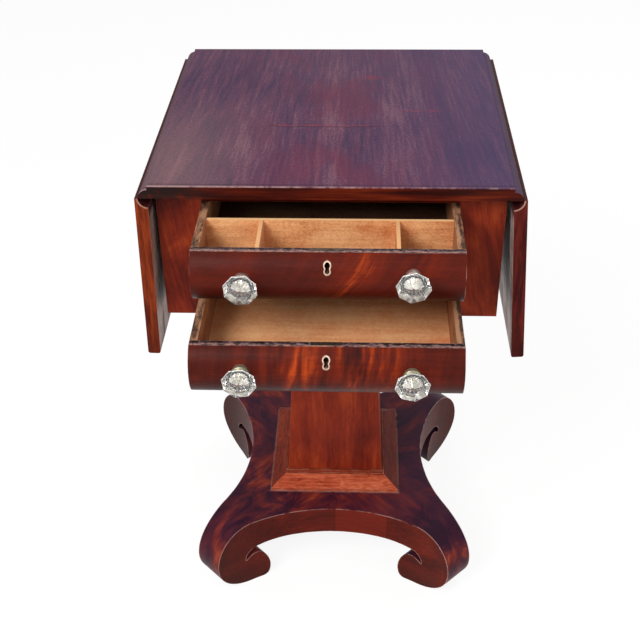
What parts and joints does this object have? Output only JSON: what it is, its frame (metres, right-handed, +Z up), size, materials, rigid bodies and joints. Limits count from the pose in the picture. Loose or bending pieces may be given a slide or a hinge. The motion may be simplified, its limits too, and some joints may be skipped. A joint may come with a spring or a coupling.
{
  "type": "drop-leaf side table",
  "caption": "Small drop-leaf work table: two bow-fronted drawers with glass knobs in a veneered case, on a tapered square column and a platform with scroll feet.",
  "frame": {"origin": "on the floor under the axis of the column", "axes": "+X to the right and -Y towards a person facing the drawers, +Z up; the leaves hang on -X and +X"},
  "size_m": [0.4856, 0.634, 0.724],
  "materials": {
    "mahogany_veneer": "old french polish",
    "inside_wood": "bare, aged",
    "knob_glass": "clear, cut facets",
    "collar_metal": "tarnished",
    "brass": "pale, worn",
    "iron": "dull, aged"
  },
  "bodies": {
    "stand": {"case_back": "inside_wood", "case_bottom": "inside_wood", "case_side_left": "mahogany_veneer", "case_side_right": "mahogany_veneer", "column": "mahogany_veneer", "column_cleat": "mahogany_veneer", "guide_panel_left": "inside_wood", "guide_panel_right": "inside_wood", "hinge_top_plates": "iron", "kickers": "inside_wood", "leaf_bracket_left": "inside_wood", "leaf_bracket_right": "inside_wood", "leg_front_left": "mahogany_veneer", "leg_front_right": "mahogany_veneer", "leg_rear_left": "mahogany_veneer", "leg_rear_right": "mahogany_veneer", "plinth_mouldings": "mahogany_veneer", "rail_bottom": "mahogany_veneer", "rail_middle": "mahogany_veneer", "rail_top": "mahogany_veneer", "runners": "inside_wood", "stile_left": "mahogany_veneer", "stile_right": "mahogany_veneer", "top_board": "mahogany_veneer"},
    "leaf_left": {"hinge_flaps_left": "iron", "leaf_left": "mahogany_veneer"},
    "leaf_right": {"hinge_flaps_right": "iron", "leaf_right": "mahogany_veneer"},
    "drawer_upper": {"drawer_upper_back": "inside_wood", "drawer_upper_bottom": "inside_wood", "drawer_upper_divider_left": "inside_wood", "drawer_upper_divider_right": "inside_wood", "drawer_upper_escutcheon": "brass", "drawer_upper_front": "mahogany_veneer", "drawer_upper_knob_collars": "collar_metal", "drawer_upper_knobs": "knob_glass", "drawer_upper_lock": "iron", "drawer_upper_partition": "inside_wood", "drawer_upper_side_left": "inside_wood", "drawer_upper_side_right": "inside_wood"},
    "drawer_lower": {"drawer_lower_back": "inside_wood", "drawer_lower_bottom": "inside_wood", "drawer_lower_escutcheon": "brass", "drawer_lower_front": "mahogany_veneer", "drawer_lower_knob_collars": "collar_metal", "drawer_lower_knobs": "knob_glass", "drawer_lower_lock": "iron", "drawer_lower_side_left": "inside_wood", "drawer_lower_side_right": "inside_wood"},
    "lock_bolt_upper": {"drawer_upper_lock_bolt": "iron"},
    "lock_bolt_lower": {"drawer_lower_lock_bolt": "iron"}
  },
  "joints": [
    {"name": "leaf_left_hinge", "type": "hinge", "parent": "stand", "child": "leaf_left", "pos_m": [-0.216, 0, 0.708], "axis": [0, 1, 0], "range_deg": [-1.5, 88.5]},
    {"name": "leaf_right_hinge", "type": "hinge", "parent": "stand", "child": "leaf_right", "pos_m": [0.216, 0, 0.708], "axis": [0, -1, 0], "range_deg": [-4, 86]},
    {"name": "drawer_upper_slide", "type": "slide", "parent": "stand", "child": "drawer_upper", "axis": [0, -1, 0], "range_m": [-0.114, 0.14]},
    {"name": "drawer_lower_slide", "type": "slide", "parent": "stand", "child": "drawer_lower", "axis": [0, -1, 0], "range_m": [-0.175, 0.08]},
    {"name": "lock_bolt_upper_slide", "type": "slide", "parent": "drawer_upper", "child": "lock_bolt_upper", "axis": [0, 0, 1], "range_m": [0, 0.007]},
    {"name": "lock_bolt_lower_slide", "type": "slide", "parent": "drawer_lower", "child": "lock_bolt_lower", "axis": [0, 0, 1], "range_m": [0, 0.007]}
  ]
}
